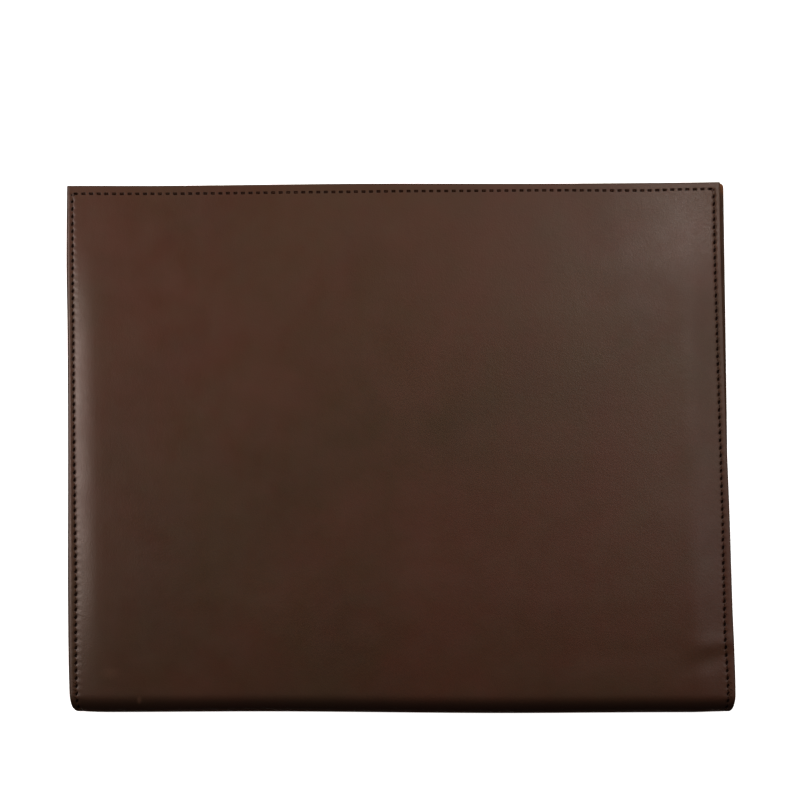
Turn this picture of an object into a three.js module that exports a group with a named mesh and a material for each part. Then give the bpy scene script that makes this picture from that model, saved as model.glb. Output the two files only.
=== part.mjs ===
// A closed leather resume holder: a cover folded round a soft spine, and the lining sewn into it.
// It lies on its back cover, with the spine toward -Y and the free edges toward +Y.
// Millimetres, +Z up, with the origin on the resting surface under the middle of the holder.
import * as THREE from 'three';

// Driving sizes
const closedDepth = 256; // from the spine to the free edges
const coverThickness = 1.8;
const liningThickness = 1.2;
const sewnGap = 0.3; // between the two leathers along their seams
const spineRadius = 9; // outer face of the spine where its ends are sewn flat
const backLift = 0.9; // the back cover's sewn edges stand this far above the surface
const mouthGap = 1.2; // between the two linings at the free edges
const swellStart = 2.5; // the cover starts to rise this far from a sewn edge
const swellEnd = 16; // and has its full rise this far in
const freeEdgeSwellEnd = 73; // the front cover rises more slowly from its free edge
const frontEdgeRise = 0.5; // how far the front cover climbs before it turns up to the spine
const frontEdgeReach = 78; // reach of that flatter stretch from the free edge
const spineReach = 58; // the front cover keeps the top of the roll's direction over this length
const freeEdgeTilt = 1; // the free edges run out this far at the right and back this far at the left
const liningInset = 0.3; // the lining's raw edge stands back this far from the cover's

// Sections of the folded sheet from the front free edge, round the spine, to the back free edge.
// along is the share of the sheet's length, left and right are the X of its side edges, and swell is
// how far the cover rises above its seams. The front cover leans left, and the spine's ends draw in.
const sections = [
  { section: 'front free edge', along: 0.0, left: -160.8, right: 154.8, swell: 1.5 },
  { section: 'front middle', along: 0.235, left: -159.4, right: 156.6, swell: 1.5 },
  { section: 'front near the spine', along: 0.388, left: -158.4, right: 159.2, swell: 1.5 },
  { section: 'front meets spine', along: 0.471, left: -158.2, right: 160.8, swell: 0.7 },
  { section: 'spine outermost', along: 0.5, left: -157.4, right: 159.6, swell: 0.4 },
  { section: 'back meets spine', along: 0.529, left: -157.8, right: 160.2, swell: 0.6 },
  { section: 'back near the spine', along: 0.612, left: -158.5, right: 159.6, swell: 0.9 },
  { section: 'back middle', along: 0.765, left: -159.2, right: 158.6, swell: 0.9 },
  { section: 'back free edge', along: 1.0, left: -159.9, right: 157.4, swell: 0.9 },
];

// Dents and folds of the front cover: centre, half sizes, and how far each one sinks (a ridge rises)
const dents = [
  { dent: 'crease beside the spine', x: 146, y: -102, halfX: 30, halfY: 6, sink: 0.5 },
  { dent: 'ridge above the crease', x: 150, y: -93, halfX: 22, halfY: 6, sink: -0.4 },
  { dent: 'hollow in the middle', x: 10, y: -50, halfX: 70, halfY: 30, sink: 0.4 },
  { dent: 'low place on the right', x: 138, y: -20, halfX: 12, halfY: 14, sink: 0.3 },
];

// Cells of the sheets' grid
const columns = 24;
const frontRows = 16;
const spineRows = 10;
const backRows = 14;
const rows = frontRows + spineRows + backRows;

// The fold seen from the side, as (Y, Z): the cover's outer face along its sewn edges
const wall = coverThickness + sewnGap + liningThickness;
const frontEdgeZ = backLift + 2 * wall + mouthGap;
const spineSwell = sections.find((row) => row.section === 'spine outermost').swell;
const spineY = -closedDepth / 2 + spineRadius + spineSwell;
const spineZ = backLift + spineRadius;
const spineTopZ = spineZ + spineRadius;
const freeEdgeY = closedDepth / 2 - freeEdgeTilt;

const frontCurve = new THREE.CubicBezierCurve(
  new THREE.Vector2(freeEdgeY, frontEdgeZ),
  new THREE.Vector2(freeEdgeY - frontEdgeReach, frontEdgeZ + frontEdgeRise),
  new THREE.Vector2(spineY + spineReach, spineTopZ),
  new THREE.Vector2(spineY, spineTopZ),
);
const spineCurve = new THREE.EllipseCurve(
  spineY, spineZ, spineRadius, spineRadius, Math.PI / 2, Math.PI * 1.5,
);
const backCurve = new THREE.LineCurve(
  new THREE.Vector2(spineY, backLift),
  new THREE.Vector2(freeEdgeY, backLift),
);
const frontLength = frontCurve.getLength();
const spineLength = spineCurve.getLength();
const sheetLength = frontLength + spineLength + backCurve.getLength();

// The table's columns at any share of the sheet's length
const alongs = sections.map((row) => row.along);
const sideEdgesAt = new THREE.CubicInterpolant(
  alongs, sections.flatMap((row) => [row.left, row.right]), 2,
);
const fullSwellAt = new THREE.LinearInterpolant(alongs, sections.map((row) => row.swell), 1);

// Rows and columns close up toward the sewn edges and toward the spine.
const closeAtEnds = (share) => (1 - Math.cos(Math.PI * share)) / 2;

// One row of the grid: its point on the fold, the outward direction there, and its distance along the sheet
function rowAt(row) {
  let curve = frontCurve;
  let share = closeAtEnds(row / frontRows);
  let start = 0;
  if (row > frontRows + spineRows) {
    curve = backCurve;
    share = closeAtEnds((row - frontRows - spineRows) / backRows);
    start = frontLength + spineLength;
  } else if (row > frontRows) {
    curve = spineCurve;
    share = (row - frontRows) / spineRows;
    start = frontLength;
  }
  const point = curve.getPointAt(share);
  const tangent = curve.getTangentAt(share);
  return {
    y: point.x,
    z: point.y,
    outY: tangent.y,
    outZ: -tangent.x,
    distance: start + share * curve.getLength(),
  };
}

// 0 at a sewn edge, 1 where the cover has its full rise. It is steepest beside the stitches.
function rise(fromEdge) {
  const share = THREE.MathUtils.inverseLerp(swellStart, swellEnd, fromEdge);
  const held = THREE.MathUtils.clamp(share, 0, 1);
  return held * (2 - held);
}

function swellAt(distance, fromLeft, fromRight) {
  const full = fullSwellAt.evaluate(distance / sheetLength)[0];
  const slowRise = THREE.MathUtils.smoothstep(distance, swellStart, freeEdgeSwellEnd);
  return full * slowRise * rise(sheetLength - distance) * rise(fromLeft) * rise(fromRight);
}

function sinkAt(x, y) {
  return dents.reduce((sum, dent) => {
    const aside = (x - dent.x) / dent.halfX;
    const ahead = (y - dent.y) / dent.halfY;
    return sum + dent.sink * Math.exp(-(aside * aside) - ahead * ahead);
  }, 0);
}

// A flat sheet with a grid on it, carried onto the fold. inset is its outer face's depth under the
// cover's outer face, and edgeInset is how far its own edges stand back from the cover's.
function foldedSheet({ thickness, inset, edgeInset, swells }) {
  const sheet = new THREE.BoxGeometry(columns, rows, 1, columns, rows, 1);
  const grid = sheet.attributes.position;
  for (let i = 0; i < grid.count; i += 1) {
    const column = Math.round(grid.getX(i) + columns / 2);
    const row = Math.round(rows / 2 - grid.getY(i));
    const onOuterFace = grid.getZ(i) > 0;

    const fold = rowAt(row);
    const [left, right] = sideEdgesAt.evaluate(fold.distance / sheetLength);
    const x = THREE.MathUtils.lerp(left + edgeInset, right - edgeInset, closeAtEnds(column / columns));
    const swell = swells ? swellAt(fold.distance, x - left, right - x) : 0;
    const out = swell - inset - (onOuterFace ? 0 : thickness);

    const fromSpine = Math.max((fold.y - spineY) / (freeEdgeY - spineY), 0);
    const turned = freeEdgeTilt * (x / right) * fromSpine;
    const standsBack = row === 0 || row === rows ? edgeInset : 0;
    const sink = fold.distance < frontLength ? sinkAt(x, fold.y) : 0;
    grid.setXYZ(
      i,
      x,
      fold.y + fold.outY * out + turned - standsBack,
      fold.z + fold.outZ * out - sink,
    );
  }
  sheet.computeVertexNormals();
  return sheet;
}

function piece(name, geometry, material) {
  const mesh = new THREE.Mesh(geometry, material);
  mesh.name = name;
  return mesh;
}

// Outer cover: one sheet of smooth leather makes the front cover, the spine and the back cover
const coverLeather = new THREE.MeshStandardMaterial({ color: 0x4a3025, roughness: 0.45, metalness: 0 });
const coverSheet = foldedSheet({ thickness: coverThickness, inset: 0, edgeInset: 0, swells: true });

// Inner lining: a thinner sheet that lies flat behind the cover and meets it along the seams
const liningLeather = new THREE.MeshStandardMaterial({ color: 0x5a3a26, roughness: 0.7, metalness: 0 });
const liningSheet = foldedSheet({
  thickness: liningThickness,
  inset: coverThickness + sewnGap,
  edgeInset: liningInset,
  swells: false,
});

const holder = new THREE.Group();
holder.add(
  piece('outer_cover', coverSheet, coverLeather),
  piece('inner_lining', liningSheet, liningLeather),
);

export default holder;
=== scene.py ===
import bisect
import bmesh
import bpy
import math
import random
from mathutils import Matrix, Vector, noise
from mathutils.geometry import interpolate_bezier


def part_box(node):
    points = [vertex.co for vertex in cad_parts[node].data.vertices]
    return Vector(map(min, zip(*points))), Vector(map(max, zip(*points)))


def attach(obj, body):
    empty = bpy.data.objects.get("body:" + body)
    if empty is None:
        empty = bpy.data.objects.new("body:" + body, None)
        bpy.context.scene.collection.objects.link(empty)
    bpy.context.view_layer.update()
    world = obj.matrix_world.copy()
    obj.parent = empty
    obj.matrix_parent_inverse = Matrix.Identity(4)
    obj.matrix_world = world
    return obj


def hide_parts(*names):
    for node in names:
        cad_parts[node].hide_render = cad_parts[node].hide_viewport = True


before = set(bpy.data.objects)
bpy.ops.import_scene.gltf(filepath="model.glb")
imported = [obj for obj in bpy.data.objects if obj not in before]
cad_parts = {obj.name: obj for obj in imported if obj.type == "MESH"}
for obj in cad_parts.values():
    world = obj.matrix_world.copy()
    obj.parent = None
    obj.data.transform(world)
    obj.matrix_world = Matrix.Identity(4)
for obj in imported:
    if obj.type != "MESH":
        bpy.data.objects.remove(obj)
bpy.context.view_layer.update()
coverLow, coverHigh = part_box("outer_cover")
print("frame loaded:", sorted(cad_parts))

# The fold, seen from its right end: from the front free edge, round the spine, to the back free edge
fold = {
    "spineRadius": 0.0090,     # outer face of the roll where its ends are sewn
    "spineSwell": 0.0004,      # the roll stands out this much more between its ends
    "backLift": 0.0009,        # sewn edges of the back cover above the floor
    "frontLift": 0.0087,       # sewn free edge of the front cover above the floor
    "frontRise": 0.0005,       # the front cover climbs this far before it turns up to the spine
    "frontReach": 0.078,       # length of that flatter stretch
    "spineReach": 0.058,       # the front cover keeps the roll's direction over this length
    "freeEdgeTilt": 0.0010,    # the free edges run out at the right and back at the left
    "sheetWidth": 0.317,       # the leather before it was folded
    "stretchMargin": 0.020,    # only the leather further in than this stretches to the outline
    "rollLead": 0.004,         # the roll's painted shade and duller finish start this far out on the covers
    "rollBlend": 0.012,        # and comes in over this length
    "frontSteps": 320,
    "spineSteps": 64,
    "backSteps": 80,
}

# Side edges of the folded sheet, and how far the cover swells above its seams, along its length
outline = [
    {"share": 0.000, "left": -0.1610, "right": 0.1551, "swell": 0.0015},    # front free edge
    {"share": 0.070, "left": -0.1611, "right": 0.1556, "swell": 0.0015},
    {"share": 0.140, "left": -0.1604, "right": 0.1564, "swell": 0.0015},
    {"share": 0.235, "left": -0.1598, "right": 0.1575, "swell": 0.0015},
    {"share": 0.309, "left": -0.1595, "right": 0.1587, "swell": 0.0015},
    {"share": 0.388, "left": -0.1592, "right": 0.1597, "swell": 0.0015},
    {"share": 0.471, "left": -0.1583, "right": 0.1611, "swell": 0.0007},    # front meets the spine
    {"share": 0.487, "left": -0.1573, "right": 0.1604, "swell": 0.0005},
    {"share": 0.500, "left": -0.1556, "right": 0.1588, "swell": 0.0004},    # spine at its outermost
    {"share": 0.513, "left": -0.1568, "right": 0.1596, "swell": 0.0005},
    {"share": 0.529, "left": -0.1578, "right": 0.1602, "swell": 0.0006},    # back meets the spine
    {"share": 0.612, "left": -0.1585, "right": 0.1600, "swell": 0.0009},
    {"share": 0.765, "left": -0.1592, "right": 0.1593, "swell": 0.0009},
    {"share": 1.000, "left": -0.1599, "right": 0.1575, "swell": 0.0009},    # back free edge
]

# The stitch rows wander: how much wider the margin outside each row is, along the sheet and across it
sideMargins = [
    {"share": 0.000, "left": -0.00050, "right": 0.00000},
    {"share": 0.065, "left": -0.00015, "right": 0.00000},
    {"share": 0.155, "left": -0.00040, "right": 0.00000},
    {"share": 0.243, "left": -0.00020, "right": 0.00000},
    {"share": 0.288, "left": 0.00015, "right": 0.00025},
    {"share": 0.376, "left": 0.00080, "right": 0.00070},
    {"share": 0.420, "left": 0.00055, "right": 0.00110},
    {"share": 0.464, "left": 0.00040, "right": 0.00050},
    {"share": 0.500, "left": 0.00000, "right": 0.00000},
    {"share": 1.000, "left": 0.00000, "right": 0.00000},
]
frontMargins = [
    {"share": 0.000, "front": 0.00040},
    {"share": 0.416, "front": 0.00042},
    {"share": 0.520, "front": 0.00014},
    {"share": 0.740, "front": -0.00029},
    {"share": 0.885, "front": 0.00014},
    {"share": 0.940, "front": -0.00022},
    {"share": 1.000, "front": -0.00026},
]

# Dents and folds of the front cover: centre, half sizes, turn in degrees, and how far each one sinks
dents = [
    {"x": 0.146, "y": -0.1034, "halfX": 0.014, "halfY": 0.0045, "turn": 18, "sink": 0.00034},
    {"x": 0.153, "y": -0.0940, "halfX": 0.014, "halfY": 0.0042, "turn": 6, "sink": -0.00040},
    {"x": 0.112, "y": -0.0985, "halfX": 0.028, "halfY": 0.0060, "turn": 3, "sink": 0.00020},
    {"x": 0.010, "y": -0.050, "halfX": 0.070, "halfY": 0.030, "turn": 0, "sink": 0.0004},
    {"x": 0.138, "y": -0.020, "halfX": 0.012, "halfY": 0.014, "turn": 0, "sink": 0.0003},
    {"x": 0.152, "y": 0.124, "halfX": 0.040, "halfY": 0.035, "turn": 0, "sink": 0.0006},
]

# Slow waves of the front cover
waves = {
    "acrossScale": 9.0,
    "aheadScale": 11.0,
    "pattern": 3.7,
    "height": 0.00022,
    "calmReach": 0.03,         # they die out this far before the roll, which stays straight
}

# The long edges aren't quite straight: middle of each bow, half its width, and how far it stands out
bows = {
    "free": [
        {"x": -0.160, "half": 0.028, "out": 0.00034},
        {"x": -0.024, "half": 0.060, "out": 0.00045},
        {"x": 0.077, "half": 0.045, "out": -0.00015},
        {"x": 0.157, "half": 0.018, "out": 0.00020},
    ],
    "spine": [{"x": -0.065, "half": 0.050, "out": -0.00036}, {"x": 0.050, "half": 0.055, "out": 0.00045}],
}


def smooth(share):
    held = min(max(share, 0.0), 1.0)
    return held * held * (3.0 - 2.0 * held)


def bell(value, half):
    return math.exp(-(value / half) ** 2)


def foldPoints():
    freeY = coverHigh.y - fold["freeEdgeTilt"]
    radius = fold["spineRadius"]
    spineY = coverLow.y + radius + fold["spineSwell"]
    spineZ = fold["backLift"] + radius
    points = interpolate_bezier(
        Vector((freeY, fold["frontLift"])),
        Vector((freeY - fold["frontReach"], fold["frontLift"] + fold["frontRise"])),
        Vector((spineY + fold["spineReach"], spineZ + radius)),
        Vector((spineY, spineZ + radius)),
        fold["frontSteps"],
    )
    frontCount = len(points)
    for step in range(1, fold["spineSteps"] + 1):
        turn = math.pi * (0.5 + step / fold["spineSteps"])
        points.append(Vector((spineY + radius * math.cos(turn), spineZ + radius * math.sin(turn))))
    spineCount = len(points)
    for step in range(1, fold["backSteps"] + 1):
        share = step / fold["backSteps"]
        points.append(Vector((spineY + (freeY - spineY) * share, fold["backLift"])))
    return points, frontCount, spineCount


foldLine, frontCount, spineCount = foldPoints()
foldDistance = [0.0]
for before, after in zip(foldLine, foldLine[1:]):
    foldDistance.append(foldDistance[-1] + (after - before).length)
foldOut = []
for index in range(len(foldLine)):
    travel = foldLine[min(index + 1, len(foldLine) - 1)] - foldLine[max(index - 1, 0)]
    foldOut.append(Vector((travel.y, -travel.x)).normalized())
sheetWidth = fold["sheetWidth"]
sheetLength = foldDistance[-1]
frontEnd = foldDistance[frontCount - 1]
spineEnd = foldDistance[spineCount - 1]
spineY, freeY = foldLine[frontCount - 1].x, foldLine[0].x


# The fold at a distance along the sheet, as a place and the way out from it
def foldAt(along):
    index = min(max(bisect.bisect_right(foldDistance, along) - 1, 0), len(foldLine) - 2)
    share = (along - foldDistance[index]) / (foldDistance[index + 1] - foldDistance[index])
    share = min(max(share, 0.0), 1.0)
    point = foldLine[index].lerp(foldLine[index + 1], share)
    out = foldOut[index].lerp(foldOut[index + 1], share).normalized()
    return point, out


# Left edge, right edge and swell at a distance along the sheet; the edges curve smoothly from row to row
def outlineAt(along):
    share = along / sheetLength
    index = 0
    while index < len(outline) - 2 and share > outline[index + 1]["share"]:
        index += 1
    start, end = outline[index], outline[index + 1]
    before, after = outline[max(index - 1, 0)], outline[min(index + 2, len(outline) - 1)]
    span = end["share"] - start["share"]
    way = min(max((share - start["share"]) / span, 0.0), 1.0)
    edges = []
    for side in ("left", "right"):
        leave = (end[side] - before[side]) / (end["share"] - before["share"]) * span
        arrive = (after[side] - start[side]) / (after["share"] - start["share"]) * span
        edges.append(
            start[side] * (2 * way ** 3 - 3 * way * way + 1) + leave * (way ** 3 - 2 * way * way + way)
            + end[side] * (3 * way * way - 2 * way ** 3) + arrive * (way ** 3 - way * way)
        )
    return edges[0], edges[1], start["swell"] + (end["swell"] - start["swell"]) * way


def marginAt(margins, share, side):
    index = 0
    while index < len(margins) - 2 and share > margins[index + 1]["share"]:
        index += 1
    start, end = margins[index], margins[index + 1]
    way = smooth((share - start["share"]) / (end["share"] - start["share"]))
    return start[side] + (end[side] - start[side]) * way


# A wider margin pushes the leather inward beside the stitch row, and leaves the edge and the middle alone
def pushedIn(fromEdge, inset):
    return smooth(fromEdge / inset) * smooth((seam["pushReach"] - fromEdge) / seam["pushFade"])


# Dents and slow waves of the whole front cover, lining included
def warpAt(x, y, along):
    if along > frontEnd:
        return 0.0
    rise = 0.0
    for dent in dents:
        turn = math.radians(dent["turn"])
        aside = (x - dent["x"]) * math.cos(turn) + (y - dent["y"]) * math.sin(turn)
        ahead = (y - dent["y"]) * math.cos(turn) - (x - dent["x"]) * math.sin(turn)
        rise -= dent["sink"] * bell(aside, dent["halfX"]) * bell(ahead, dent["halfY"])
    calm = smooth((frontEnd - along) / waves["calmReach"])
    wave = noise.noise(Vector((x * waves["acrossScale"], y * waves["aheadScale"], waves["pattern"])))
    return rise + waves["height"] * wave * calm


def bowAt(edge, x):
    return sum(bow["out"] * bell(x - bow["x"], bow["half"]) for bow in bows[edge])


# How far a place is on the roll: 1 round the spine, 0 on the flat of the covers
def onRoll(along):
    lead, blend = fold["rollLead"], fold["rollBlend"]
    return smooth((along - frontEnd + lead) / blend) * smooth((spineEnd + lead - along) / blend)


# A place on the folded sheet: across and along in the flat leather, out from the cover's sewn outer face
def sheetPoint(across, along, out):
    along += marginAt(frontMargins, across / sheetWidth, "front") * pushedIn(along, seam["endInset"])
    left, right = outlineAt(along)[:2]
    share = along / sheetLength
    margin = fold["stretchMargin"]
    stretch = (right - left - sheetWidth) * smooth((across - margin) / (sheetWidth - 2 * margin))
    x = left + across + stretch
    x += marginAt(sideMargins, share, "left") * pushedIn(across, seam["sideInset"])
    x -= marginAt(sideMargins, share, "right") * pushedIn(sheetWidth - across, seam["sideInset"])
    point, outward = foldAt(along)
    fromSpine = max((point.x - spineY) / (freeY - spineY), 0.0)
    turned = fold["freeEdgeTilt"] * (x / right) * fromSpine
    bowed = bowAt("free", x) * fromSpine - bowAt("spine", x) * (1.0 - fromSpine)
    y = point.x + outward.x * out + turned + bowed
    z = point.y + outward.y * out + warpAt(x, point.x, along)
    return Vector((x, y, z))


# Seams: a row of needle holes inside each edge, and what the stitches do to the leather
seam = {
    "sideInset": 0.0032,       # stitch rows from the left and right edges
    "endInset": 0.0036,        # stitch rows from the free edges
    "pitch": 0.00365,          # one stitch to the next
    "cornerCut": 0.0018,       # a slanting stitch cuts each corner by this much
    "edgeLine": 0.0003,        # the flat of the leather starts this far from the cut edge
    "pushReach": 0.040,        # a wandering row shifts the leather up to this far from the edge
    "pushFade": 0.030,         # and less and less over this length
    "reach": 0.006,            # nothing is pressed further than this from a stitch row
    "endFade": 0.0008,         # a row fades out past its last stitch
    "slotSoft": 0.0004,        # softness of a slot's sides
    "slotHalf": 0.00050,       # each stitch has pressed a slot into the leather
    "holeHalf": 0.00066,
    "holeLength": 0.00100,
    "holeSink": 0.00032,
    "puckerReach": 0.0018,     # the leather bulges this far inside the stitch row
    "puckerHalf": 0.0011,
    "holeShadeShare": 0.45,      # a face with more painted shade than this takes the needle holes' painted-shade finish
    "edgeTint": 0.3,           # the faces beside a cut edge take this much of its colour
    "edgeTintReach": 0.0004,
}
# slotDark and holeDark: painted shade in the slots and needle holes; holeDark also lets the holes sink
leftRow = {"sink": 0.00006, "slotDark": 0, "holeDark": 1, "bridge": 0, "lean": 0.3, "pucker": 0.00004}
rightRow = {"sink": 0.00006, "slotDark": 0, "holeDark": 1, "bridge": 0, "lean": -0.3, "pucker": 0.00002}
freeRow = {"sink": 0.00008, "slotDark": 0.85, "holeDark": 0, "bridge": 0.0014, "lean": 0, "pucker": 0.00001}
seamRows = (leftRow, rightRow, freeRow, freeRow)       # the front and the back free edge are sewn alike
sideStitches = round((sheetLength - 2 * seam["endInset"]) / seam["pitch"])
endStitches = round((sheetWidth - 2 * seam["sideInset"]) / seam["pitch"])
sidePitch = (sheetLength - 2 * seam["endInset"]) / sideStitches
endPitch = (sheetWidth - 2 * seam["sideInset"]) / endStitches


# For the left, right, front and back edges: distance from the edge, its stitch row's inset, the place
# along that row from the row's first hole, and its pitch and number of stitches
def sewnEdges(across, along):
    sideInset, endInset = seam["sideInset"], seam["endInset"]
    return (
        (across, sideInset, along - endInset, sidePitch, sideStitches),
        (sheetWidth - across, sideInset, along - endInset, sidePitch, sideStitches),
        (along, endInset, across - sideInset, endPitch, endStitches),
        (sheetLength - along, endInset, across - sideInset, endPitch, endStitches),
    )


# Slots, needle holes and puckers along the seams, as a height, and how much painted shade a place takes
def seamShape(across, along):
    height = 0.0
    dark = 0.0
    soft = seam["slotSoft"]
    start = seam["cornerCut"] * 0.5
    for row, (fromEdge, inset, place, pitch, stitches) in zip(seamRows, sewnEdges(across, along)):
        aside = fromEdge - inset
        if abs(aside) > seam["reach"]:
            continue
        beyond = max(start - place, place - (pitch * stitches - start), 0.0)
        here = bell(beyond, seam["endFade"])
        step = place / pitch
        pastHole = (step - round(step)) * pitch
        inSlot = smooth((abs(pastHole) - row["bridge"] / 2) / soft + 0.5)
        slot = inSlot * smooth((seam["slotHalf"] - abs(aside)) / soft + 0.5)
        hole = bell(pastHole, seam["holeLength"]) * bell(aside + row["lean"] * pastHole, seam["holeHalf"])
        between = 0.5 - 0.5 * math.cos(2.0 * math.pi * step)
        pucker = between * bell(aside - seam["puckerReach"], seam["puckerHalf"])
        pressed = row["sink"] * slot + seam["holeSink"] * hole * row["holeDark"]
        height += (row["pucker"] * pucker - pressed) * here
        dark = max(dark, row["slotDark"] * slot * here, row["holeDark"] * hole * here)
    return height, dark


# More lines between those that lie on the roll
def closerOnRoll(lines, cuts):
    closer = []
    lead = fold["rollLead"]
    for before, after in zip(lines, lines[1:]):
        closer.append(before)
        if after > frontEnd - lead and before < spineEnd + lead:
            closer += [before + (after - before) * cut / (cuts + 1) for cut in range(1, cuts + 1)]
    return closer + [lines[-1]]


# Lines of the flat sheet from edge to edge: close together beside the stitch row, then one a stitch
def sheetLines(length, inset, pitch, stitches, besideRow):
    near = [0.0, seam["edgeLine"]] + [inset + offset for offset in besideRow]
    middle = [inset + pitch * hole for hole in range(1, stitches)]
    return near + middle + [length - line for line in reversed(near)]


tiny = 1e-6                    # closer than this is the same place

# The crease beside the right end of the spine gets smaller cells
crease = {
    "width": 0.090,            # from the right edge
    "fromSpine": 0.024,        # middle of it, from the roll
    "half": 0.022,
}


# True for a place on the outer face of the flat leather that belongs to that stretch
def onCrease(place):
    fromRight = sheetWidth - place.x
    fromMiddle = abs(frontEnd - crease["fromSpine"] - place.y)
    return fromRight < crease["width"] and fromMiddle < crease["half"] and place.z < 0.5


# A flat slab with lines at its edges, seams and needle holes: x across, y along, z 0 outside and 1 inside
def flatSlab(sheet):
    besideRow = sheet["besideRow"]
    columns = sheetLines(sheetWidth, seam["sideInset"], endPitch, endStitches, besideRow)
    rows = sheetLines(sheetLength, seam["endInset"], sidePitch, sideStitches, besideRow)
    rows = closerOnRoll(rows, sheet["rollCuts"])
    bm = bmesh.new()
    bmesh.ops.create_grid(bm, x_segments=len(columns) - 1, y_segments=len(rows) - 1, size=0.5)
    for vert in bm.verts:
        column = round((vert.co.x + 0.5) * (len(columns) - 1))
        row = round((vert.co.y + 0.5) * (len(rows) - 1))
        vert.co = (columns[column], rows[row], 0.0)
    inner = bmesh.ops.extrude_face_region(bm, geom=bm.faces[:])
    innerVerts = [part for part in inner["geom"] if isinstance(part, bmesh.types.BMVert)]
    bmesh.ops.translate(bm, vec=(0, 0, 1), verts=innerVerts)
    upright = [edge for edge in bm.edges if abs(edge.verts[0].co.z - edge.verts[1].co.z) > 0.5]
    bmesh.ops.subdivide_edges(bm, edges=upright, cuts=sheet["rimCuts"], use_grid_fill=True)

    sideBand = seam["sideInset"] + besideRow[-1] + 10 * tiny
    endBand = seam["endInset"] + besideRow[-1] + 10 * tiny

    def fromSide(vert):
        return min(vert.co.x, sheetWidth - vert.co.x)

    def fromEnd(vert):
        return min(vert.co.y, sheetLength - vert.co.y)

    def cutsFor(edge):
        first, second = edge.verts
        travel = second.co - first.co
        if abs(travel.z) > tiny:
            return 0
        onRim = all(min(fromSide(vert), fromEnd(vert)) < tiny for vert in edge.verts)
        if not onRim and abs(first.co.z - sheet["fineFace"]) > tiny:
            return 0
        besideSide = abs(travel.x) < tiny and fromSide(first) < sideBand
        besideEnd = abs(travel.y) < tiny and fromEnd(first) < endBand
        if besideSide or besideEnd:
            return max(round(travel.length / sheet["fineCell"]) - 1, 0)
        return 0

    planned = {}
    for edge in bm.edges:
        planned.setdefault(cutsFor(edge), []).append(edge)
    creased = [edge for edge in planned[0] if all(onCrease(vert.co) for vert in edge.verts)]
    for cuts in sorted(planned):
        if cuts > 0:
            bmesh.ops.subdivide_edges(bm, edges=planned[cuts], cuts=cuts, use_grid_fill=True)
    if sheet["creaseCuts"]:
        bmesh.ops.subdivide_edges(bm, edges=creased, cuts=sheet["creaseCuts"], use_grid_fill=True)
    return bm


# The cut edges are rounded over, and the sheet's corners are trimmed round
def easeEdges(across, along, deep, sheet):
    bulge = 1.0 - math.sqrt(max(1.0 - (2.0 * deep - 1.0) ** 2, 0.0))
    band = seam["sideInset"]
    distances = [across, sheetWidth - across, along, sheetLength - along]
    for side, edge in enumerate(sheet["edges"]):
        if distances[side] < band:
            inset = sheet["edgeInset"] + edge["round"] * bulge
            distances[side] = inset + distances[side] * (1.0 - inset / band)
    isLeft, isFront = across < sheetWidth / 2, along < sheetLength / 2
    aside = distances[0] if isLeft else distances[1]
    ahead = distances[2] if isFront else distances[3]
    radius = sheet["frontCorner"] if isFront else sheet["backCorner"]
    pastX, pastY = radius - aside, radius - ahead
    if pastX > 0.0 and pastY > 0.0:
        pull = max(pastX, pastY) / math.hypot(pastX, pastY)
        aside, ahead = radius - pastX * pull, radius - pastY * pull
    return (aside if isLeft else sheetWidth - aside), (ahead if isFront else sheetLength - ahead)


def shapeSheet(bm, sheet, heightAt):
    holeLayer = bm.verts.layers.float.new("hole")
    edgeLayer = bm.verts.layers.float.new("edge")
    spineLayer = bm.verts.layers.float.new("spine")
    for vert in bm.verts:
        deep = vert.co.z
        onRim = tiny < deep < 1.0 - tiny
        fromEdge = min(vert.co.x, sheetWidth - vert.co.x, vert.co.y, sheetLength - vert.co.y)
        across, along = easeEdges(vert.co.x, vert.co.y, deep, sheet)
        height, dark = heightAt(across, along, deep)
        # painted shade of the slots and needle holes
        vert[holeLayer] = dark
        beside = smooth(1.0 - fromEdge / seam["edgeTintReach"])
        vert[edgeLayer] = 1.0 if onRim else seam["edgeTint"] * beside
        vert[spineLayer] = onRoll(along)
        vert.co = sheetPoint(across, along, height)
    uneven = [face for face in bm.faces if len(face.verts) > 4]
    bmesh.ops.triangulate(bm, faces=uneven)
    bmesh.ops.recalc_face_normals(bm, faces=bm.faces)
    for face in bm.faces:
        face.smooth = True
        pressed = sum(vert[holeLayer] for vert in face.verts) / len(face.verts)
        face.material_index = 1 if pressed > seam["holeShadeShare"] else 0


def makePiece(name, bm, *materials):
    mesh = bpy.data.meshes.new(name)
    bm.to_mesh(mesh)
    bm.free()
    for material in materials:
        mesh.materials.append(material)
    piece = bpy.data.objects.new(name, mesh)
    bpy.context.scene.collection.objects.link(piece)
    triangles = sum(len(face.vertices) - 2 for face in mesh.polygons)
    print(name, triangles, "triangles")
    return piece


# Node helpers for the finishes
def newFinish(name):
    material = bpy.data.materials.new(name)
    material.use_nodes = True
    return material, material.node_tree.nodes["Principled BSDF"]


def addNode(tree, kind, **settings):
    node = tree.nodes.new(kind)
    for key, value in settings.items():
        if key in node.inputs:
            node.inputs[key].default_value = value
        else:
            setattr(node, key, value)
    return node


def onPiece(tree):
    return tree.nodes.new("ShaderNodeTexCoord").outputs["Object"]


def mark(tree, name):
    return addNode(tree, "ShaderNodeAttribute", attribute_name=name).outputs["Fac"]


def patches(tree, place, kind):
    texture = addNode(tree, "ShaderNodeTexNoise", **kind)
    tree.links.new(place, texture.inputs["Vector"])
    return texture.outputs["Fac"]


def tones(tree, share, stops, colors):
    ramp = tree.nodes.new("ShaderNodeValToRGB")
    while len(ramp.color_ramp.elements) < len(stops):
        ramp.color_ramp.elements.new(0.5)
    for element, stop, color in zip(ramp.color_ramp.elements, stops, colors):
        element.position = stop
        element.color = (*color, 1.0)
    tree.links.new(share, ramp.inputs["Fac"])
    return ramp.outputs["Color"]


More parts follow.
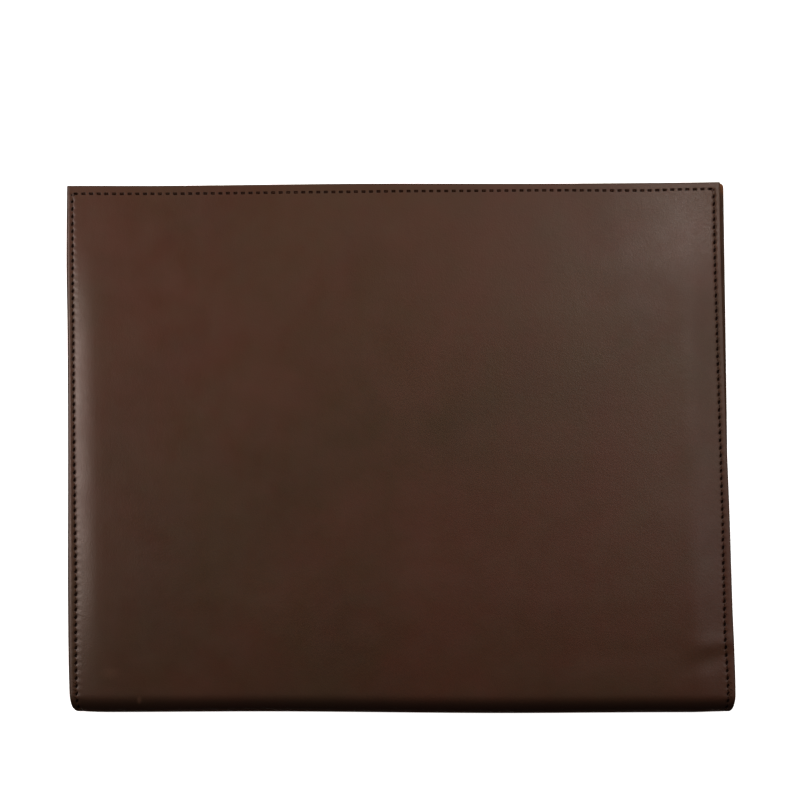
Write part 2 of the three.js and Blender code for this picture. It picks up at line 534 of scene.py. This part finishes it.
# A share of a colour, or of a plain number, laid over what is already there
def layOver(tree, under, share, value):
    isColor = isinstance(value, tuple)
    blend = addNode(tree, "ShaderNodeMix", data_type="RGBA" if isColor else "FLOAT")
    tree.links.new(share, blend.inputs["Factor"])
    tree.links.new(under, blend.inputs["A"])
    blend.inputs["B"].default_value = (*value, 1.0) if isColor else value
    return blend.outputs["Result"]


def mapped(tree, share, fromStops, toStops, **settings):
    ends = addNode(tree, "ShaderNodeMapRange", **settings)
    ends.inputs["From Min"].default_value, ends.inputs["From Max"].default_value = fromStops
    ends.inputs["To Min"].default_value, ends.inputs["To Max"].default_value = toStops
    tree.links.new(share, ends.inputs["Value"])
    return ends.outputs["Result"]


def combined(tree, operation, first, second):
    joined = addNode(tree, "ShaderNodeMath", operation=operation)
    tree.links.new(first, joined.inputs[0])
    if isinstance(second, float):
        joined.inputs[1].default_value = second
    else:
        tree.links.new(second, joined.inputs[1])
    return joined.outputs["Value"]


def addBump(tree, height, kind, under=None):
    bump = addNode(tree, "ShaderNodeBump", **kind)
    tree.links.new(height, bump.inputs["Height"])
    if under:
        tree.links.new(under, bump.inputs["Normal"])
    return bump.outputs["Normal"]


# Worn spots: full inside a core, broken up by fine rubbing
spotEdge = {
    "core": 0.2,
    "rub": {"Scale": 700.0, "Detail": 3.0},
    "rubStops": (0.35, 0.65),
    "rubLeast": 0.4,
}


# A soft, broken spot round a place on a piece: 1 at its middle, 0 past its half sizes
def addSpot(tree, place, spot):
    away = addNode(tree, "ShaderNodeVectorMath", operation="SUBTRACT")
    tree.links.new(place, away.inputs[0])
    away.inputs[1].default_value = spot["middle"]
    scaled = addNode(tree, "ShaderNodeVectorMath", operation="DIVIDE")
    tree.links.new(away.outputs["Vector"], scaled.inputs[0])
    scaled.inputs[1].default_value = spot["half"]
    reach = addNode(tree, "ShaderNodeVectorMath", operation="LENGTH")
    tree.links.new(scaled.outputs["Vector"], reach.inputs[0])
    inside = mapped(tree, reach.outputs["Value"], (spotEdge["core"], 1.0), (spot["strength"], 0.0),
                    interpolation_type="SMOOTHSTEP")
    rubbed = patches(tree, place, spotEdge["rub"])
    broken = mapped(tree, rubbed, spotEdge["rubStops"], (spotEdge["rubLeast"], 1.0))
    return combined(tree, "MULTIPLY", inside, broken)


# Cover leather: dark brown, smooth and satin, faintly clouded, with fine pores
coverFinish = {
    "dark": (0.0372, 0.0151, 0.0073),
    "middle": (0.0417, 0.0170, 0.0081),
    "light": (0.0462, 0.0191, 0.0094),
    "brownTint": (0.840, 1.000, 0.980),
    "redTint": (1.000, 0.825, 0.890),
    "hole": (0.0080, 0.0028, 0.0014),
    "edge": (0.0250, 0.0104, 0.0053),
    # painted shade: the dark colour that the spine roll is painted towards
    "roll": (0.0165, 0.0062, 0.0027),
    "rollShadeShare": 0.75,         # painted shade: the spine is painted darker; it is also duller
    "rollRoughness": 0.50,
    "scuff": (0.0850, 0.0420, 0.0250),
    "scuffs": [                # small rubbed places at the left end of the spine
        {"middle": (-0.1246, -0.1212, 0.0190), "half": (0.0015, 0.0026, 0.0040), "strength": 0.8},
        {"middle": (-0.1390, -0.1080, 0.0190), "half": (0.0060, 0.0040, 0.0060), "strength": 0.25},
    ],
    "clouds": {"Scale": 12.0, "Detail": 6.0, "Roughness": 0.73},
    "cloudStops": (0.35, 0.50, 0.67),
    "tints": {"Scale": 8.0, "Detail": 8.0, "Roughness": 0.78},
    "tintStops": (0.38, 0.62),
    "glossPatches": {"Scale": 60.0, "Detail": 6.0, "Roughness": 0.6},
    "glossStops": (0.3, 0.7),
    "roughness": (0.33, 0.41),
    "pressedRoughness": 0.48,
    "poreScale": 1500.0,
    "poreBump": {"Strength": 0.10, "Distance": 0.0003},
    "skin": {"Scale": 220.0, "Detail": 4.0, "Roughness": 0.55},
    "skinBump": {"Strength": 0.08, "Distance": 0.0006},
    "polish": {"middle": (0.1480, 0.1160, 0.0105), "half": (0.0600, 0.0500, 0.0300), "strength": 0.8},
    "polishRoughness": 0.27,   # one corner is polished by handling
}


def makeCoverLeather():
    material, shader = newFinish("coverLeather")
    tree = material.node_tree
    place = onPiece(tree)
    cloudTones = (coverFinish["dark"], coverFinish["middle"], coverFinish["light"])
    cloud = tones(tree, patches(tree, place, coverFinish["clouds"]), coverFinish["cloudStops"], cloudTones)
    tintTones = (coverFinish["brownTint"], coverFinish["redTint"])
    tint = tones(tree, patches(tree, place, coverFinish["tints"]), coverFinish["tintStops"], tintTones)
    tinted = addNode(tree, "ShaderNodeMix", data_type="RGBA", blend_type="MULTIPLY")
    tinted.inputs["Factor"].default_value = 1.0
    tree.links.new(cloud, tinted.inputs["A"])
    tree.links.new(tint, tinted.inputs["B"])
    # painted shade: the roll is painted darker, towards the dark roll colour
    spineShadeShare = combined(tree, "MULTIPLY", mark(tree, "spine"), coverFinish["rollShadeShare"])
    tone = layOver(tree, tinted.outputs["Result"], spineShadeShare, coverFinish["roll"])
    for scuff in coverFinish["scuffs"]:
        tone = layOver(tree, tone, addSpot(tree, place, scuff), coverFinish["scuff"])
    tone = layOver(tree, tone, mark(tree, "edge"), coverFinish["edge"])
    # painted shade: slots and needle holes are painted dark
    tone = layOver(tree, tone, mark(tree, "hole"), coverFinish["hole"])
    tree.links.new(tone, shader.inputs["Base Color"])

    glossPatches = patches(tree, place, coverFinish["glossPatches"])
    dull = mapped(tree, glossPatches, coverFinish["glossStops"], coverFinish["roughness"])
    dull = layOver(tree, dull, addSpot(tree, place, coverFinish["polish"]), coverFinish["polishRoughness"])
    dull = layOver(tree, dull, mark(tree, "spine"), coverFinish["rollRoughness"])
    pressed = combined(tree, "MAXIMUM", mark(tree, "hole"), mark(tree, "edge"))
    dull = layOver(tree, dull, pressed, coverFinish["pressedRoughness"])      # slots and cut edges are dull
    tree.links.new(dull, shader.inputs["Roughness"])

    pores = addNode(tree, "ShaderNodeTexVoronoi", feature="SMOOTH_F1", Scale=coverFinish["poreScale"])
    tree.links.new(place, pores.inputs["Vector"])
    grain = addBump(tree, pores.outputs["Distance"], coverFinish["poreBump"])
    skin = addBump(tree, patches(tree, place, coverFinish["skin"]), coverFinish["skinBump"], grain)
    tree.links.new(skin, shader.inputs["Normal"])
    return material


# Needle holes and slots: painted shade, dark and dull
holeShadeFinish = {
    "dark": (0.0030, 0.0012, 0.0007),
    "light": (0.0085, 0.0032, 0.0018),
    "wax": {"Scale": 900.0, "Detail": 4.0},
    "waxStops": (0.35, 0.70),
    "roughness": 0.9,
    "shine": 0.05,
}


def makeNeedleHoleShade():
    material, shader = newFinish("needleHoleShade")
    tree = material.node_tree
    wax = patches(tree, onPiece(tree), holeShadeFinish["wax"])
    tone = tones(tree, wax, holeShadeFinish["waxStops"], (holeShadeFinish["dark"], holeShadeFinish["light"]))
    tree.links.new(tone, shader.inputs["Base Color"])
    shader.inputs["Roughness"].default_value = holeShadeFinish["roughness"]
    shader.inputs["Specular IOR Level"].default_value = holeShadeFinish["shine"]
    return material


# Lining leather: a warmer, matte sheet, with its raw colour showing at one corner
liningFinish = {
    "dark": (0.0300, 0.0125, 0.0060),
    "light": (0.0520, 0.0225, 0.0112),
    "edge": (0.0560, 0.0250, 0.0130),
    "raw": (0.2000, 0.0700, 0.0260),
    "nap": {"Scale": 140.0, "Detail": 8.0, "Roughness": 0.65},
    "napStops": (0.32, 0.70),
    "fibre": {"Scale": 1300.0, "Detail": 5.0, "Roughness": 0.7},
    "fibreBump": {"Strength": 0.35, "Distance": 0.0004},
    "roughness": 0.78,
    "rawCorner": {"middle": (0.1572, 0.1260, 0.0040), "half": (0.0050, 0.0045, 0.0060), "strength": 0.9},
}


def makeLiningLeather():
    material, shader = newFinish("liningLeather")
    tree = material.node_tree
    place = onPiece(tree)
    nap = patches(tree, place, liningFinish["nap"])
    tone = tones(tree, nap, liningFinish["napStops"], (liningFinish["dark"], liningFinish["light"]))
    tone = layOver(tree, tone, mark(tree, "edge"), liningFinish["edge"])
    tone = layOver(tree, tone, addSpot(tree, place, liningFinish["rawCorner"]), liningFinish["raw"])
    tree.links.new(tone, shader.inputs["Base Color"])
    fibre = addBump(tree, patches(tree, place, liningFinish["fibre"]), liningFinish["fibreBump"])
    tree.links.new(fibre, shader.inputs["Normal"])
    shader.inputs["Roughness"].default_value = liningFinish["roughness"]
    return material


# Sewing thread: waxed and dark brown, with painted light: the side rows are painted lighter, most on the
# left, the free edges stay dark, and random wear goes on top
threadFinish = {
    "dark": (0.0070, 0.0030, 0.0018),
    "light": (0.0150, 0.0068, 0.0040),
    "litAndWorn": (0.0560, 0.0240, 0.0132),
    "strand": {"Scale": 2600.0, "Detail": 3.0},
    "strandStops": (0.35, 0.70),
    "strandBump": {"Strength": 0.3, "Distance": 0.0002},
    "roughness": 0.75,
    "shine": 0.12,
}


def makeThread():
    material, shader = newFinish("waxedThread")
    tree = material.node_tree
    strand = patches(tree, onPiece(tree), threadFinish["strand"])
    tone = tones(tree, strand, threadFinish["strandStops"], (threadFinish["dark"], threadFinish["light"]))
    # painted light: the thread is painted lighter by row where light catches it, plus random wear
    tone = layOver(tree, tone, mark(tree, "lightAndWear"), threadFinish["litAndWorn"])
    tree.links.new(tone, shader.inputs["Base Color"])
    tree.links.new(addBump(tree, strand, threadFinish["strandBump"]), shader.inputs["Normal"])
    shader.inputs["Roughness"].default_value = threadFinish["roughness"]
    shader.inputs["Specular IOR Level"].default_value = threadFinish["shine"]
    return material


coverLeather = makeCoverLeather()
needleHoleShade = makeNeedleHoleShade()
liningLeather = makeLiningLeather()
waxedThread = makeThread()
print("finishes ready")

# Outer cover: front cover, rolled spine and back cover in one sheet
coverSheet = {
    "thickness": 0.0018,
    "rollCuts": 3,
    "besideRow": (-0.0022, -0.0014, -0.0009, -0.0006, -0.0003, 0.0, 0.0003, 0.0006, 0.0009, 0.0015, 0.0025),
    "fineCell": 0.00046,       # small cells along the stitch rows
    "fineFace": 0.0,           # on the outer face
    "creaseCuts": 1,
    "rimCuts": 3,
    "edgeInset": 0.0,
    "edges": [                 # left, right, front free edge, back free edge
        {"round": 0.0006, "drop": 0.00050, "reach": 0.0014, "swellReach": 0.0115, "steep": 1.0},
        {"round": 0.0003, "drop": 0.00010, "reach": 0.0012, "swellReach": 0.0160, "steep": 0.3},
        {"round": 0.0001, "drop": 0.00000, "reach": 0.0008, "swellReach": 0.0700, "steep": 0.0},
        {"round": 0.0004, "drop": 0.00020, "reach": 0.0015, "swellReach": 0.0160, "steep": 0.3},
    ],
    "frontCorner": 0.0005,     # radius of the trimmed corners
    "backCorner": 0.0022,
    "swellStart": 0.0034,      # the leather starts to rise at the stitches
    "dropCurve": 1.25,         # how roundly the edges drop
    "rollDrop": 0.2,           # the edges drop only this much of it round the spine
}


# 0 at the stitches, 1 where the cover has its full rise; a steep one leaves the stitches at its sharpest
def swellRise(fromEdge, edge):
    held = min(max((fromEdge - coverSheet["swellStart"]) / edge["swellReach"], 0.0), 1.0)
    return smooth(held) + (held * (2.0 - held) - smooth(held)) * edge["steep"]


def coverHeight(across, along, deep):
    rise = outlineAt(along)[2]
    drop = 0.0
    fromEdges = (across, sheetWidth - across, along, sheetLength - along)
    for fromEdge, edge in zip(fromEdges, coverSheet["edges"]):
        rise *= swellRise(fromEdge, edge)
        drop += edge["drop"] * max(1.0 - fromEdge / edge["reach"], 0.0) ** coverSheet["dropCurve"]
    stitched, dark = seamShape(across, along)
    drop *= 1.0 - (1.0 - coverSheet["rollDrop"]) * onRoll(along)
    fade = 1.0 - deep          # the slots and holes are pressed into the outer face
    return rise - drop * fade + stitched * fade - deep * coverSheet["thickness"], dark * fade


coverMesh = flatSlab(coverSheet)
shapeSheet(coverMesh, coverSheet, coverHeight)
cover = makePiece("coverSheet", coverMesh, coverLeather, needleHoleShade)
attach(cover, "root")
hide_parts("outer_cover")

# Inner lining: a thinner sheet that lies flat behind the cover
liningSheet = {
    "thickness": 0.0012,
    "underCover": 0.0021,      # its outer face below the cover's sewn outer face
    "rollCuts": 2,
    "besideRow": (-0.0014, -0.0008, -0.0004, 0.0, 0.0004, 0.0008, 0.0015),
    "fineCell": 0.00046,
    "fineFace": 1.0,           # the inner face shows
    "creaseCuts": 0,
    "rimCuts": 2,
    "edgeInset": 0.0003,
    "edges": [{"round": 0.0002}] * 4,
    "frontCorner": 0.0008,     # radius of the trimmed corners
    "backCorner": 0.0022,
    "dentShare": 0.6,          # share of the seam's dents that shows on the lining
}


def liningHeight(across, along, deep):
    stitched, dark = seamShape(across, along)
    thickness = liningSheet["thickness"] + liningSheet["dentShare"] * stitched
    # the painted shade of the slots and needle holes shows on the inner face
    return -liningSheet["underCover"] - deep * thickness, dark * deep


liningMesh = flatSlab(liningSheet)
shapeSheet(liningMesh, liningSheet, liningHeight)
lining = makePiece("liningSheet", liningMesh, liningLeather, needleHoleShade)
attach(lining, "root")
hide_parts("inner_lining")

# Sewing: short waxed stitches that dive into the needle holes
stitch = {
    "sideLength": 0.0019,      # along the left and right edges
    "endLength": 0.0024,       # along the free edges
    "cornerLength": 0.0024,    # across a corner
    "shortShare": 0.9,         # a stitch beside a corner fills this much of its place
    "locks": 5,                # stitches crossed over the edge at each end of the roll
    "lockLength": 0.0040,
    "lockStep": 0.0017,
    "lockInset": 0.36,         # share of the stitch row's inset
    "lockSlant": 32,           # degrees, by turns to either side
    "lockLightness": (0.3, 0.9),
    "width": 0.00080,
    "height": 0.00060,
    "sides": 6,
    "rings": 7,
    "twist": 38.0,             # degrees from ring to ring
    "dive": 0.00060,           # the ends sink this far
    "taper": 0.82,             # the ends are this much thinner, by their area
    "ply": 0.16,               # the flat side of the twisted thread
    "slant": 10.0,             # degrees from the stitch row
    "endSlant": 0.4,           # share of that along the free edges
    "seat": -0.00020,          # middle of the thread from the sewn face
    "seed": 7,
    "wander": 0.00007,
    "slantWander": 4,
    "lengthWander": (0.94, 1.06),
    "wearWander": 0.15,
    "probe": 0.0004,           # the leather's slope is taken over this distance to each side
    # painted light and shade: how much lighter the thread is painted on the left, right and free-edge rows
    "leftLit": 1.0,
    "rightLit": 0.5,
    "endLit": 0.2,
}


def oneStitch(bm):
    cap = bmesh.ops.create_circle(bm, cap_ends=True, segments=stitch["sides"], radius=0.5)
    ring = cap["verts"]
    bmesh.ops.rotate(bm, cent=(0, 0, 0), matrix=Matrix.Rotation(math.radians(90), 3, "Y"), verts=ring)
    face = ring[0].link_faces[0]
    rings = [ring]
    for step in range(1, stitch["rings"]):
        grown = bmesh.ops.extrude_face_region(bm, geom=[face])["geom"]
        if step > 1:
            bmesh.ops.delete(bm, geom=[face], context="FACES_ONLY")      # no walls inside the thread
        ring = [part for part in grown if isinstance(part, bmesh.types.BMVert)]
        face = [part for part in grown if isinstance(part, bmesh.types.BMFace)][0]
        twist = Matrix.Rotation(math.radians(stitch["twist"]), 3, "X")
        bmesh.ops.rotate(bm, cent=(0, 0, 0), matrix=twist, verts=ring)
        rings.append(ring)
    for step, ring in enumerate(rings):
        share = step / (stitch["rings"] - 1) * 2.0 - 1.0
        full = math.sqrt(1.0 - stitch["taper"] * share ** 4)
        for vert in ring:
            flat = 1.0 - stitch["ply"] * (vert.co.y > 0)      # a flat side that winds round as a ply
            vert.co = Vector((
                share / 2,
                vert.co.y * stitch["width"] * full * flat,
                vert.co.z * stitch["height"] * full - stitch["dive"] * share ** 4,
            ))
    bmesh.ops.recalc_face_normals(bm, faces=bm.faces)


# Middle of each stitch in the flat leather, the way that it runs, its length, its slant and its painted
# lightness
def stitchPlaces():
    places = []
    sideInset, endInset, cut = seam["sideInset"], seam["endInset"], seam["cornerCut"]
    slant, endLit = stitch["slant"], stitch["endLit"]
    shortSide = (sidePitch - cut) * stitch["shortShare"]
    sides = ((sideInset, 1, stitch["leftLit"]), (sheetWidth - sideInset, -1, stitch["rightLit"]))
    for side, sideWay, sideLit in sides:
        for index in range(1, sideStitches - 1):
            along = endInset + (index + 0.5) * sidePitch
            places.append((side, along, 0, 1, stitch["sideLength"], -slant, sideLit))
        for end, endWay in ((endInset, 1), (sheetLength - endInset, -1)):
            places.append((side + sideWay * cut / 2, end + endWay * cut / 2, sideWay, -endWay,
                           stitch["cornerLength"], 0, endLit))
            places.append((side, end + endWay * (sidePitch + cut) / 2, 0, 1, shortSide, -slant, sideLit))
            places.append((side + sideWay * (endPitch + cut) / 2, end, 1, 0, shortSide, slant, endLit))
        for start, way in ((frontEnd, -1), (spineEnd, 1)):
            for index in range(stitch["locks"]):
                along = start + way * stitch["lockStep"] * (index - 0.5)
                lockSlant = stitch["lockSlant"] if index % 2 else -stitch["lockSlant"]
                places.append((side - sideWay * sideInset * stitch["lockInset"], along, 1, 0,
                               stitch["lockLength"], lockSlant, stitch["lockLightness"][index % 2]))
    for end in (endInset, sheetLength - endInset):
        for index in range(1, endStitches - 1):
            across = sideInset + (index + 0.5) * endPitch
            places.append((across, end, 1, 0, stitch["endLength"], slant * stitch["endSlant"], endLit))
    return places


def sewStitches(name, out, facing):
    draw = random.Random(stitch["seed"])
    pattern = bmesh.new()
    oneStitch(pattern)
    patternMesh = bpy.data.meshes.new("stitchPattern")
    pattern.to_mesh(patternMesh)
    pattern.free()
    bm = bmesh.new()
    lightAndWearLayer = bm.verts.layers.float.new("lightAndWear")
    small = stitch["probe"]
    for across, along, wayAcross, wayAlong, length, slant, lightAndWear in stitchPlaces():
        across += draw.uniform(-1, 1) * stitch["wander"]
        along += draw.uniform(-1, 1) * stitch["wander"]
        middle = sheetPoint(across, along, out)
        acrossWay = sheetPoint(across + small, along, out) - sheetPoint(across - small, along, out)
        alongWay = sheetPoint(across, along + small, out) - sheetPoint(across, along - small, out)
        up = alongWay.cross(acrossWay).normalized() * facing
        ahead = (acrossWay * wayAcross + alongWay * wayAlong).normalized()
        turn = math.radians(slant + draw.uniform(-1, 1) * stitch["slantWander"])
        ahead = (Matrix.Rotation(turn, 3, up) @ ahead).normalized()
        aside = up.cross(ahead)
        placing = Matrix((ahead, aside, up)).transposed().to_4x4()
        placing.translation = middle + up * stitch["seat"]
        placing = placing @ Matrix.Diagonal((length * draw.uniform(*stitch["lengthWander"]), 1.0, 1.0, 1.0))
        already = len(bm.verts)
        bm.from_mesh(patternMesh)
        bm.verts.ensure_lookup_table()
        added = bm.verts[already:]
        bmesh.ops.transform(bm, matrix=placing, verts=added)
        lightAndWearShare = min(max(lightAndWear + draw.uniform(-1, 1) * stitch["wearWander"], 0.0), 1.0)
        for vert in added:
            vert[lightAndWearLayer] = lightAndWearShare
    bpy.data.meshes.remove(patternMesh)
    for face in bm.faces:
        face.smooth = True
    piece = makePiece(name, bm, waxedThread)
    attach(piece, "root")
    return piece


coverStitches = sewStitches("coverStitches", 0.0, 1.0)
liningDepth = liningSheet["underCover"] + liningSheet["thickness"]
liningStitches = sewStitches("liningStitches", -liningDepth, -1.0)

# Floor, lights and camera
studio = {
    "floor": (0.86, 0.855, 0.845),
    "floorGlow": 1.15,         # the floor is white, so shadows stay faint
    "floorSize": 6.0,
    "tableMargin": 0.025,      # a lit table reaches this far past the holder and lights it from below
    "tableDepth": 0.0005,      # and lies this far under the floor
    "floorRoughness": 0.85,
    "backdropGlow": 1.25,
    "backdropRoughness": 0.5,
    "world": (0.90, 0.92, 0.95),
    "worldStrength": 0.01,
    "softboxes": [             # sheen is the share of a light that glossy leather mirrors
        {"name": "keySoftbox", "place": (0.05, 0.42, 0.26), "target": (0.0, 0.02, 0.0),
         "size": (1.1, 0.20), "power": 7.45, "sheen": 0.15, "color": (1.0, 1.0, 0.98)},
        {"name": "cornerSoftbox", "place": (0.32, 0.32, 1.00), "target": (0.14, 0.10, 0.0),
         "size": (0.15, 0.15), "power": 0.80, "sheen": 1.0, "color": (1.0, 0.92, 0.85)},
        {"name": "rightSoftbox", "place": (0.62, 0.04, 1.00), "target": (0.15, 0.0, 0.0),
         "size": (0.30, 0.50), "power": 0.72, "sheen": 1.0, "color": (1.0, 0.96, 0.92)},
        {"name": "sideSoftbox", "place": (-0.764, 0.09, 0.843), "target": (-0.15, 0.02, 0.0),
         "size": (0.25, 0.45), "power": 4.41, "sheen": 1.0, "color": (1.0, 0.80, 0.72)},
        {"name": "rimSoftbox", "place": (-0.90, 0.05, 0.10), "target": (-0.16, 0.03, 0.01),
         "size": (0.60, 0.12), "power": 1.50, "sheen": 0.2, "color": (1.0, 0.90, 0.84)},
        {"name": "spineSoftbox", "place": (0.0, -0.95, 0.55), "target": (0.0, -0.10, 0.01),
         "size": (1.4, 0.50), "power": 0.06, "sheen": 1.0, "color": (1.0, 0.96, 0.92)},
        {"name": "spineBounce", "place": (0.0, -0.136, 0.0004), "target": (0.0, -0.136, 1.0),
         "size": (0.34, 0.012), "power": 0.11, "sheen": 0.0, "color": (1.0, 0.98, 0.96)},
    ],
}


def makePale(name, glow, roughness):
    material, shader = newFinish(name)
    shader.inputs["Base Color"].default_value = (*studio["floor"], 1.0)
    shader.inputs["Emission Color"].default_value = (*studio["floor"], 1.0)
    shader.inputs["Emission Strength"].default_value = glow
    shader.inputs["Roughness"].default_value = roughness
    return material


def makeFloor():
    bm = bmesh.new()
    bmesh.ops.create_grid(bm, x_segments=1, y_segments=1, size=studio["floorSize"] / 2)
    material = makePale("paleFloor", studio["floorGlow"], studio["floorRoughness"])
    floor = makePiece("paleFloor", bm, material)
    floor.visible_glossy = False       # the white floor isn't mirrored in the leather
    floor.visible_diffuse = False      # and doesn't light it from far away
    table = bmesh.new()
    bmesh.ops.create_grid(table, x_segments=1, y_segments=1, size=0.5)
    margin = 2 * studio["tableMargin"]
    size = (coverHigh.x - coverLow.x + margin, coverHigh.y - coverLow.y + margin, 1.0)
    bmesh.ops.scale(table, vec=size, verts=table.verts)
    bmesh.ops.translate(table, vec=(0, 0, -studio["tableDepth"]), verts=table.verts)
    litTable = makePiece("litTable", table, material)
    litTable.visible_camera = False
    litTable.visible_glossy = False


# The backdrop is only seen: it neither lights the holder nor shows in the leather
def makeBackdrop():
    bm = bmesh.new()
    bmesh.ops.create_uvsphere(bm, u_segments=48, v_segments=24, radius=studio["floorSize"] / 2)
    material = makePale("paleBackdrop", studio["backdropGlow"], studio["backdropRoughness"])
    backdrop = makePiece("paleBackdrop", bm, material)
    backdrop.visible_diffuse = False
    backdrop.visible_glossy = False
    backdrop.visible_shadow = False


def addLamp(name, softbox, share, mirrored):
    light = bpy.data.lights.new(name, "AREA")
    light.shape = "RECTANGLE"
    light.size, light.size_y = softbox["size"]
    light.energy = softbox["power"] * share
    light.color = softbox["color"]
    lamp = bpy.data.objects.new(name, light)
    lamp.location = softbox["place"]
    aim = Vector(softbox["target"]) - Vector(softbox["place"])
    lamp.rotation_euler = aim.to_track_quat("-Z", "Y").to_euler()
    lamp.visible_camera = False        # the lights aren't seen by the camera
    lamp.visible_glossy = mirrored
    bpy.context.scene.collection.objects.link(lamp)


def addSoftbox(softbox):
    if softbox["sheen"] > 0.0:
        addLamp(softbox["name"], softbox, softbox["sheen"], True)
    if softbox["sheen"] < 1.0:
        addLamp(softbox["name"] + "Soft", softbox, 1.0 - softbox["sheen"], False)


def makeStudio():
    makeFloor()
    makeBackdrop()
    world = bpy.data.worlds.new("paleRoom")
    world.use_nodes = True
    background = world.node_tree.nodes["Background"]
    background.inputs["Color"].default_value = (*studio["world"], 1.0)
    background.inputs["Strength"].default_value = studio["worldStrength"]
    bpy.context.scene.world = world
    for softbox in studio["softboxes"]:
        addSoftbox(softbox)
    bpy.context.scene.view_settings.view_transform = "Standard"


# The camera looks straight down on the front cover, with the free edge at the top of the picture
camera = {
    "height": 1.100,
    "x": 0.0002,
    "y": 0.02265,              # middle of the picture on the holder
    "frameHeight": 0.012,      # at this height above the floor
    "frameWidth": 0.3856,      # the picture is this wide
    "sensor": 36.0,
}


def makeCamera():
    lens = bpy.data.cameras.new("overheadCamera")
    lens.sensor_width = camera["sensor"]
    lens.lens = camera["sensor"] * (camera["height"] - camera["frameHeight"]) / camera["frameWidth"]
    viewer = bpy.data.objects.new("overheadCamera", lens)
    viewer.location = (camera["x"], camera["y"], camera["height"])
    bpy.context.scene.collection.objects.link(viewer)
    bpy.context.scene.camera = viewer


makeStudio()
makeCamera()
print("studio ready")
